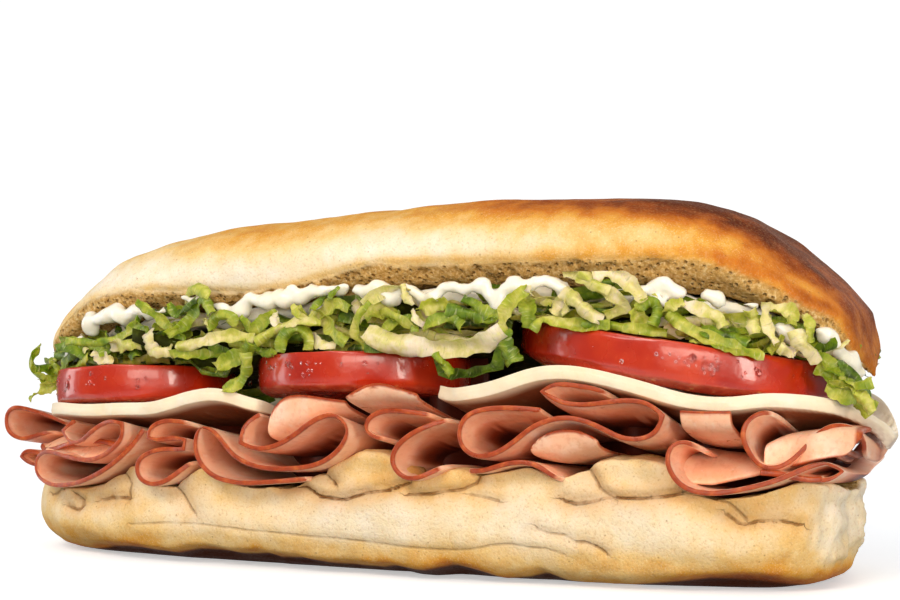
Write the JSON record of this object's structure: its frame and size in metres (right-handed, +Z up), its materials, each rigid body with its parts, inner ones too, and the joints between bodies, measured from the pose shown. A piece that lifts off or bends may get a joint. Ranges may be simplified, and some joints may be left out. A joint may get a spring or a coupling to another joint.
{
  "type": "submarine sandwich",
  "caption": "Submarine sandwich on a long soft white roll, with folded ham, sliced cheese, tomato, shredded lettuce and mayonnaise.",
  "frame": {"origin": "under the middle of the whole sandwich, on the surface that the heel of the roll stands on", "axes": "+X along the roll, -Y is the open front with the filling on show, +Z up"},
  "size_m": [0.2164, 0.0856, 0.0837],
  "materials": {
    "bread": "soft baked crust, pale at the sides and golden on top, with an open crumb at the cut",
    "ham": "moist sliced ham, pink faces and a red-brown rind edge",
    "cheese": "smooth cream-white sliced cheese",
    "tomato": "wet glossy red skin with fine droplets",
    "lettuce": "crisp wet shredded leaf, yellow-green with pale ribs",
    "mayonnaise": "smooth glossy off-white sauce"
  },
  "bodies": {
    "root": {"roll_heel": "bread", "roll_crown": "bread", "ham_1": "ham", "ham_2": "ham", "ham_3": "ham", "ham_4": "ham", "ham_5": "ham", "ham_6": "ham", "ham_7": "ham", "ham_8": "ham", "ham_9": "ham", "ham_10": "ham", "ham_11": "ham", "ham_12": "ham", "ham_13": "ham", "ham_14": "ham", "ham_15": "ham", "ham_16": "ham", "cheese_1": "cheese", "cheese_2": "cheese", "tomato_1": "tomato", "tomato_2": "tomato", "tomato_3": "tomato", "lettuce": "lettuce", "mayonnaise": "mayonnaise"}
  },
  "joints": []
}
